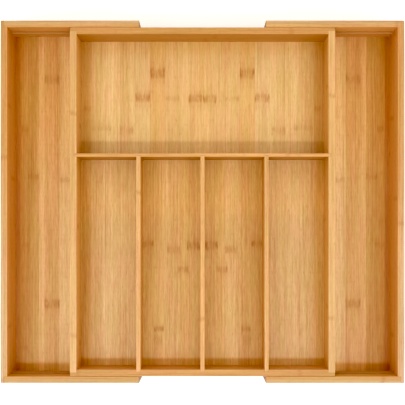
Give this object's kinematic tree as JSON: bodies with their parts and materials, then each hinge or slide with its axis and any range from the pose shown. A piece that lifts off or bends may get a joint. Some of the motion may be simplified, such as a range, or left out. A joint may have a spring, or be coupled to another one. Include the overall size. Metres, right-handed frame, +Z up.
{
  "type": "drawer organizer insert",
  "caption": "Expanding bamboo drawer insert: a centre tray with a wide back compartment and long front ones, and side wings that slide out from under it.",
  "frame": {"origin": "middle of the surface that the tray stands on, with both wings pulled out", "axes": "+X to the right across the tray, +Y from front to back, +Z up"},
  "size_m": [0.49, 0.44, 0.06],
  "materials": {
    "centre_floor": "satin clear lacquer over laminated bamboo",
    "end_wall": "satin clear lacquer over laminated bamboo",
    "side_wall": "satin clear lacquer over laminated bamboo",
    "divider": "satin clear lacquer over laminated bamboo",
    "wing_side_wall": "satin clear lacquer over laminated bamboo",
    "wing_arm": "satin clear lacquer over laminated bamboo",
    "tongue": "satin clear lacquer over laminated bamboo",
    "wing_floor": "satin clear lacquer over laminated bamboo",
    "cleat": "satin clear lacquer over laminated bamboo",
    "fastener": "plain steel"
  },
  "bodies": {
    "centre_tray": {"centre_floor_panel": "centre_floor", "centre_back_wall": "end_wall", "centre_front_wall": "end_wall", "centre_left_wall": "side_wall", "centre_right_wall": "side_wall", "cross_divider": "divider", "left_divider": "divider", "middle_divider": "divider", "right_divider": "divider", "centre_brads": "fastener"},
    "left_wing": {"left_wing_side_wall": "wing_side_wall", "left_wing_back_arm": "wing_arm", "left_wing_front_arm": "wing_arm", "left_wing_back_tongue": "tongue", "left_wing_front_tongue": "tongue", "left_wing_floor_panel": "wing_floor", "left_wing_stop_cleat": "cleat", "left_wing_stop_screws": "fastener", "left_wing_brads": "fastener"},
    "right_wing": {"right_wing_side_wall": "wing_side_wall", "right_wing_back_arm": "wing_arm", "right_wing_front_arm": "wing_arm", "right_wing_back_tongue": "tongue", "right_wing_front_tongue": "tongue", "right_wing_floor_panel": "wing_floor", "right_wing_stop_cleat": "cleat", "right_wing_stop_screws": "fastener", "right_wing_brads": "fastener"}
  },
  "joints": [
    {"name": "left_wing_slide", "type": "slide", "parent": "centre_tray", "child": "left_wing", "axis": [1, 0, 0], "range_m": [0, 0.0755]},
    {"name": "right_wing_slide", "type": "slide", "parent": "centre_tray", "child": "right_wing", "axis": [-1, 0, 0], "range_m": [0, 0.0755]}
  ]
}
